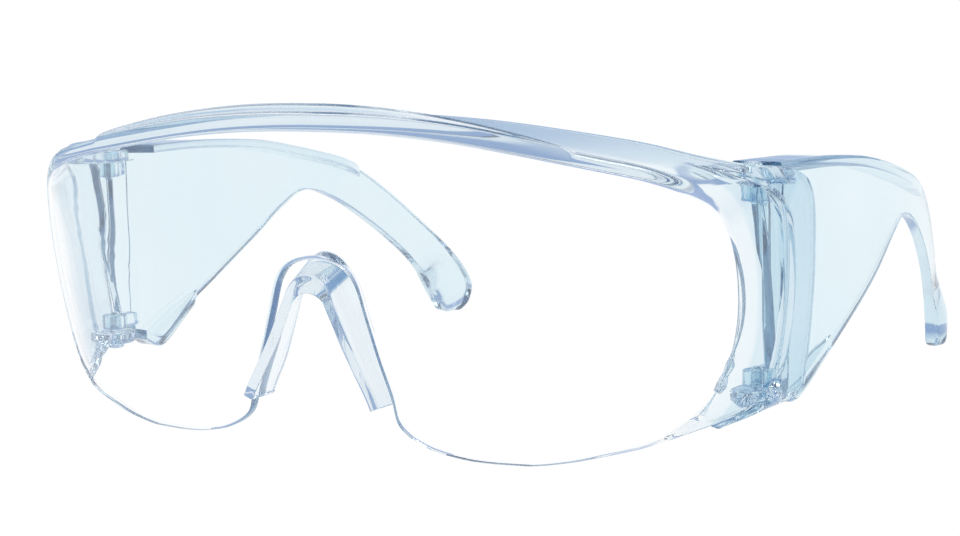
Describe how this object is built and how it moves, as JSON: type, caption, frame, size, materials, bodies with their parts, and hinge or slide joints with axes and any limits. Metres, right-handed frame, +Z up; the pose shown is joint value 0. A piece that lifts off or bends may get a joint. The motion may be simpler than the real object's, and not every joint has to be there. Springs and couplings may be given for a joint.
{
  "type": "safety glasses",
  "caption": "Clear over-spectacle safety glasses: one wrap-round lens with brow shelf and side walls, nose saddle, and temples with tapering side shields that fold on pinned hinges.",
  "frame": {"origin": "on the centre plane, under the middle of the length, on the surface that the open glasses stand on", "axes": "+Z up, -Y the way the wearer looks, +X to the wearer's left"},
  "size_m": [0.1562, 0.1559, 0.0602],
  "materials": {
    "lens_clear": "clear polycarbonate, polished",
    "saddle_clear": "clear plastic, polished",
    "temple_clear": "clear polycarbonate, polished, faint blue cast",
    "pin_clear": "clear plastic pin"
  },
  "bodies": {
    "front": {"front_lens": "lens_clear", "nose_saddle": "saddle_clear", "left_top_hinge_pin": "pin_clear", "left_bottom_hinge_pin": "pin_clear", "right_top_hinge_pin": "pin_clear", "right_bottom_hinge_pin": "pin_clear"},
    "left_temple": {"left_temple": "temple_clear"},
    "right_temple": {"right_temple": "temple_clear"}
  },
  "joints": [
    {"name": "left_fold", "type": "hinge", "parent": "front", "child": "left_temple", "pos_m": [0.0686, -0.04635, 0.03], "axis": [0, 0, 1], "range_deg": [0, 90]},
    {"name": "right_fold", "type": "hinge", "parent": "front", "child": "right_temple", "pos_m": [-0.0686, -0.04635, 0.03], "axis": [0, 0, -1], "range_deg": [0, 80]}
  ]
}
